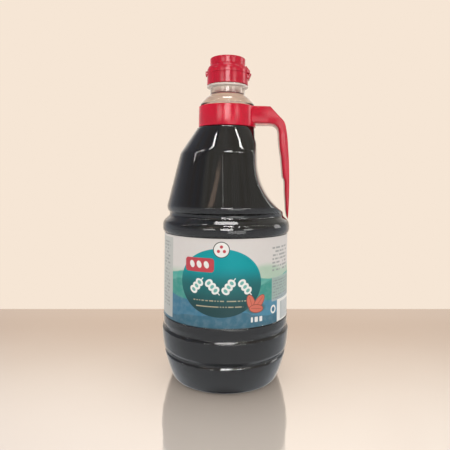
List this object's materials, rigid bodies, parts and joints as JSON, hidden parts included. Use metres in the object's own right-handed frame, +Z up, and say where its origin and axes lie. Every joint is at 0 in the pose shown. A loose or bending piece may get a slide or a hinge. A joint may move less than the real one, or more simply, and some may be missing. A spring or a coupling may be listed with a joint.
{
  "type": "soy sauce bottle",
  "caption": "Clear plastic bottle full of dark soy sauce, with a waist groove, wrap-round label, red flip-top cap and a clip-on red handle over a finger recess.",
  "frame": {"origin": "centre of the base on the surface it stands on", "axes": "+Z up along the bottle's axis, +X towards the handle, -Y towards the middle of the label"},
  "size_m": [0.1158, 0.1158, 0.2884],
  "materials": {
    "clear_pet": "clear, glossy blow-moulded PET",
    "soy_sauce": "near-black opaque liquid",
    "label_print": "printed film with a soft sheen",
    "cap_red": "red injection-moulded polypropylene",
    "handle_red": "red injection-moulded polypropylene"
  },
  "bodies": {
    "root": {"bottle": "clear_pet", "soy_sauce": "soy_sauce", "label": "label_print", "cap": "cap_red", "handle": "handle_red"}
  },
  "joints": []
}
